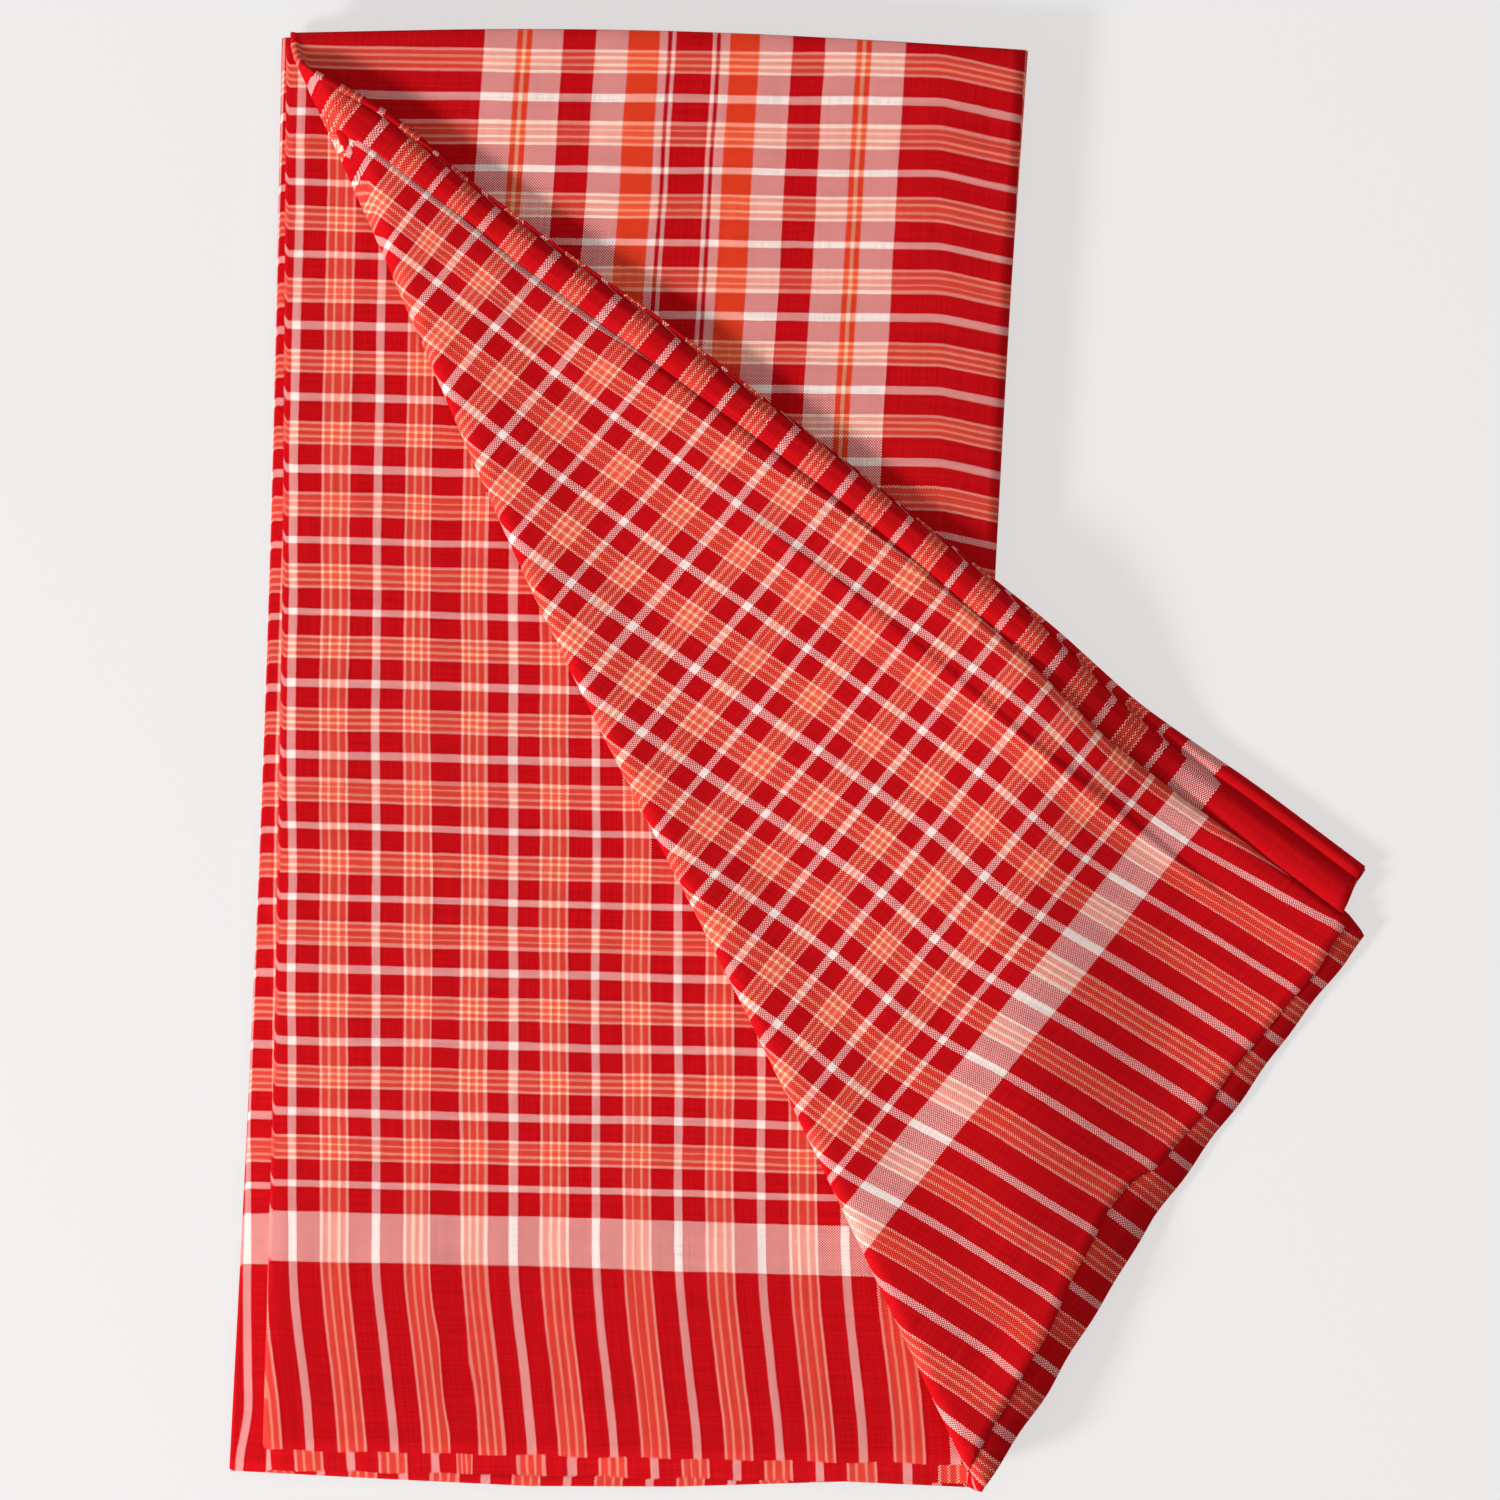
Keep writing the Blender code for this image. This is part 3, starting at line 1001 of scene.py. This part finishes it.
def stripe_ramp(rows, length, position):
    """A colour ramp with hard changes, one for each stripe."""
    made = node("ShaderNodeValToRGB")
    ramp_data = made.color_ramp
    ramp_data.interpolation = "CONSTANT"
    start = 0.0
    for index, (end, colour) in enumerate(rows):
        stop = ramp_data.elements[0] if index == 0 else ramp_data.elements.new(start / length)
        stop.position = start / length
        stop.color = (*colour, 1.0)
        start = end
    ramp_data.elements[-1].color = (*rows[-1][1], 1.0)
    joined(made.inputs["Fac"], position)
    return made.outputs["Color"]


# %% [markdown]
# ## From a place on the cloth to a yarn
# The UV is scaled to millimetres and nudged by slow noise, because no stripe on a hand loom is
# quite straight. Dividing by the yarn pitch and rounding down gives the number of the yarn, so the
# colour changes only from one yarn to the next.

# %% Yarn numbers
WOBBLE = 0.55
WOBBLE_SCALE = 0.028
YARN_WOBBLE = 0.16
YARN_WOBBLE_SCALE = 0.45

uv_map = node("ShaderNodeUVMap", uv_map="flat_cloth")
scaled = node("ShaderNodeVectorMath", operation="SCALE")
joined(scaled.inputs[0], uv_map.outputs["UV"])
scaled.inputs["Scale"].default_value = 1000.0


def wobbled(vector, scale, amount):
    texture = node("ShaderNodeTexNoise", noise_dimensions="3D")
    joined(texture.inputs["Vector"], vector)
    texture.inputs["Scale"].default_value = scale
    texture.inputs["Detail"].default_value = 1.0
    centred = node("ShaderNodeVectorMath", operation="SUBTRACT")
    joined(centred.inputs[0], texture.outputs["Color"])
    centred.inputs[1].default_value = (0.5, 0.5, 0.5)
    nudge = node("ShaderNodeVectorMath", operation="SCALE")
    joined(nudge.inputs[0], centred.outputs[0])
    nudge.inputs["Scale"].default_value = amount
    total = node("ShaderNodeVectorMath", operation="ADD")
    joined(total.inputs[0], vector)
    joined(total.inputs[1], nudge.outputs[0])
    return total.outputs[0]


place_mm = wobbled(scaled.outputs[0], WOBBLE_SCALE, 2 * WOBBLE)
place_mm = wobbled(place_mm, YARN_WOBBLE_SCALE, 2 * YARN_WOBBLE)
split = node("ShaderNodeSeparateXYZ")
joined(split.inputs[0], place_mm)
length_mm, width_mm = split.outputs["X"], split.outputs["Y"]
cross_number = computed("FLOOR", computed("DIVIDE", length_mm, YARN_PITCH))
long_number = computed("FLOOR", computed("DIVIDE", width_mm, YARN_PITCH))
cross_at = computed("MULTIPLY", computed("ADD", cross_number, 0.5), YARN_PITCH)
long_at = computed("MULTIPLY", computed("ADD", long_number, 0.5), YARN_PITCH)

# %% Colours of the yarns that run across the cloth
from_end = computed("MINIMUM", cross_at, computed("SUBTRACT", END_CLOTH, cross_at))
from_middle = computed("ABSOLUTE", computed("SUBTRACT", from_end, END_MIDDLE))
end_place = computed("DIVIDE", from_middle, END_REACH)
end_colour = stripe_ramp(END_STRIPES, END_REACH, end_place)
cross_repeat = computed("DIVIDE", computed("SUBTRACT", cross_at, FIRST_STRIPE), CHECK_LENGTH)
cross_check = stripe_ramp(
    check_stripes(CHECK_LENGTH, CROSS_SINGLE, CROSS_GROUP, CROSS_RUST),
    CHECK_LENGTH,
    computed("FRACT", computed("ADD", cross_repeat, 100.0)),
)
at_missing = computed("COMPARE", cross_at, MISSING_STRIPE, MISSING_REACH)
in_end = computed("LESS_THAN", from_end, FIRST_STRIPE - CROSS_SINGLE)
cross_check = mixed(at_missing, cross_check, (*RED, 1.0))
cross_colour = mixed(in_end, cross_check, end_colour)

# %% Colours of the yarns that run along the cloth
from_selvedge = computed("PINGPONG", long_at, LEAF_WIDTH)
border_width = BORDER_STRIPES[-1][0]
border_place = computed("DIVIDE", from_selvedge, border_width)
border_colour = stripe_ramp(BORDER_STRIPES, border_width, border_place)
long_repeat = computed("DIVIDE", computed("SUBTRACT", from_selvedge, LONG_SINGLE_AT), CHECK_WIDTH)
long_check = stripe_ramp(
    check_stripes(CHECK_WIDTH, LONG_SINGLE, LONG_GROUP, LONG_RUST),
    CHECK_WIDTH,
    computed("FRACT", computed("ADD", long_repeat, 100.0)),
)
in_border = computed("LESS_THAN", from_selvedge, CHECK_FROM)
long_colour = mixed(in_border, long_check, border_colour)

# %% [markdown]
# ## The chessboard of the weave
# The two numbers added together are odd or even, which says whose yarn lies on top. A yarn takes
# a little colour from the ones that cross it, because light passes through thin cotton. Each crossing
# is a small dome, which gives the bump. Painted shade darkens the colour in the gaps between yarns,
# and painted light brightens each dome's middle.

# %% Weave
parity = computed("FLOORED_MODULO", computed("ADD", cross_number, long_number), 2.0)
on_top = mixed(parity, cross_colour, long_colour)
below = mixed(parity, long_colour, cross_colour)
tint = node("ShaderNodeVectorMath", operation="MULTIPLY_ADD")
joined(tint.inputs[0], below)
tint.inputs[1].default_value = NEIGHBOUR_TINT
tint.inputs[2].default_value = tuple(1 - share for share in NEIGHBOUR_TINT)
woven = mixed(1.0, on_top, tint.outputs[0], "MULTIPLY")

cross_part = computed("FRACT", computed("DIVIDE", length_mm, YARN_PITCH))
across = computed("SINE", computed("MULTIPLY", cross_part, pi))
long_part = computed("FRACT", computed("DIVIDE", width_mm, YARN_PITCH))
upward = computed("SINE", computed("MULTIPLY", long_part, pi))
dome = computed("SQRT", computed("MULTIPLY", across, upward))
# Painted shade and light: the base colour is darker in the gaps between yarns and lighter on each dome's
# middle.
GAP_SHADE = 0.6
DOME_LIGHT = 1.3
gap_painted_shade = computed("MULTIPLY_ADD", dome, (1 - GAP_SHADE) * DOME_LIGHT, GAP_SHADE)

# %% Uneven yarns
STREAK_SHARE = 0.2
STREAK_ACROSS = 1.4
STREAK_ALONG = 0.03


def streaks(along_cloth):
    """Slow change along a yarn and quick change from yarn to yarn."""
    stretch = node("ShaderNodeVectorMath", operation="MULTIPLY")
    joined(stretch.inputs[0], place_mm)
    if along_cloth:
        stretch.inputs[1].default_value = (STREAK_ALONG, STREAK_ACROSS, 1.0)
    else:
        stretch.inputs[1].default_value = (STREAK_ACROSS, STREAK_ALONG, 1.0)
    texture = node("ShaderNodeTexNoise", noise_dimensions="2D")
    joined(texture.inputs["Vector"], stretch.outputs[0])
    texture.inputs["Scale"].default_value = 1.0
    texture.inputs["Detail"].default_value = 2.0
    return texture.outputs["Fac"]


streak = computed("ADD", streaks(False), streaks(True))
slub = computed("MULTIPLY_ADD", computed("SUBTRACT", streak, 1.0), 2 * STREAK_SHARE, 1.0)
# The painted shade of the weave's gaps, times the real unevenness of the yarns.
painted_shade_and_slub = computed("MULTIPLY", gap_painted_shade, slub)
painted_shade_and_slub_vector = node("ShaderNodeCombineXYZ")
for socket in painted_shade_and_slub_vector.inputs:
    joined(socket, painted_shade_and_slub)
base_colour = mixed(1.0, woven, painted_shade_and_slub_vector.outputs[0], "MULTIPLY")
joined(shader.inputs["Base Color"], base_colour)

BUMP_HEIGHT = 0.07
bump = node("ShaderNodeBump")
bump.inputs["Strength"].default_value = 0.6
bump.inputs["Distance"].default_value = BUMP_HEIGHT * MM
joined(bump.inputs["Height"], dome)
joined(shader.inputs["Normal"], bump.outputs["Normal"])
shader.inputs["Roughness"].default_value = 0.88
shader.inputs["Specular IOR Level"].default_value = 0.02
shader.inputs["Sheen Weight"].default_value = 0.005
shader.inputs["Sheen Roughness"].default_value = 0.5
cloth_mesh.materials.append(cotton)
print("cotton:", len(tree.nodes), "nodes")

# %% Say what the cloth is
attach(cloth, "root")
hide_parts("towel")
